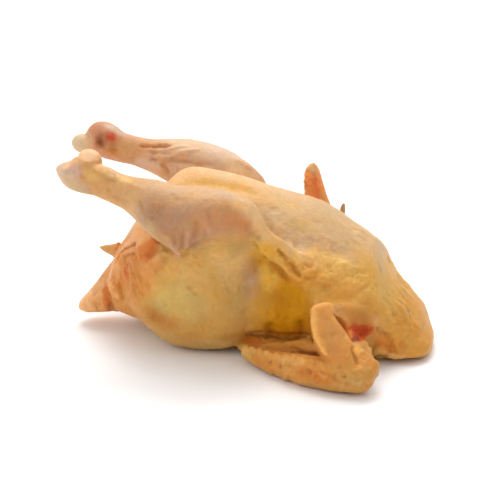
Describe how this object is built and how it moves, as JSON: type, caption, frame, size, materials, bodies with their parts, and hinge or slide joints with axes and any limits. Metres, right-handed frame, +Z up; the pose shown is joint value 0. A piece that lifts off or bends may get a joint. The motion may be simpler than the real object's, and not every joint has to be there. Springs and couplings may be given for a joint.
{
  "type": "whole raw chicken",
  "caption": "Raw plucked yellow-skinned chicken without head or feet, lying on its back with the legs drawn up, a wing folded on the table and the other wing's tip pointing up.",
  "frame": {"origin": "centre of the footprint of the whole bird, on the table it lies on", "axes": "+Z up from the table, -X towards the tail and the leg ends, +X towards the neck end, -Y the bird's left side"},
  "size_m": [0.267, 0.207, 0.1398],
  "materials": {
    "skin": "satin"
  },
  "bodies": {
    "root": {"chicken": "skin"}
  },
  "joints": []
}
